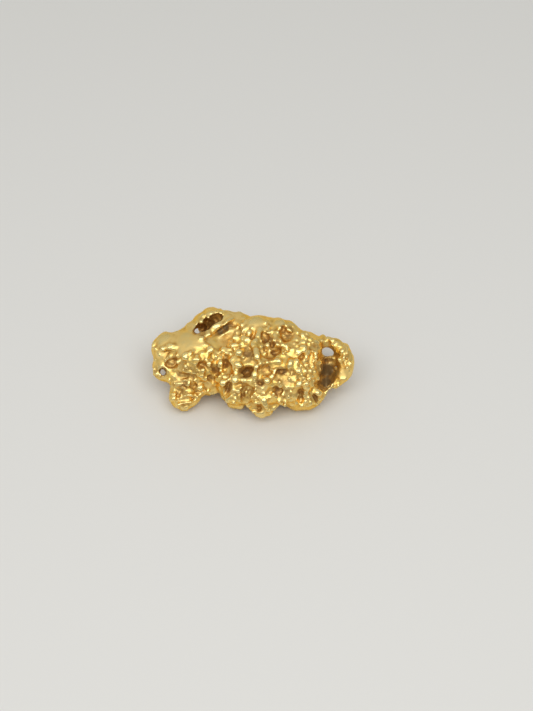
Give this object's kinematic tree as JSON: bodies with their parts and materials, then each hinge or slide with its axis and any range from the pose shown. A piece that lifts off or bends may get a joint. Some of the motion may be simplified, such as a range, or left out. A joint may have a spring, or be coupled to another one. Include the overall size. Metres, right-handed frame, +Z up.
{
  "type": "gold nugget",
  "caption": "Natural gold nugget: a lumpy, pitted lump of native gold with a looped end and open hollows, which lies on worn flat spots.",
  "frame": {"origin": "on the ground, under the middle of the nugget's box", "axes": "+X along the nugget towards its looped end, +Y towards the side away from its best face, +Z up as it lies"},
  "size_m": [0.009, 0.005, 0.003],
  "materials": {
    "native_gold": "natural metal, polished high spots and rough red-brown pits"
  },
  "bodies": {
    "root": {"nugget": "native_gold"}
  },
  "joints": []
}
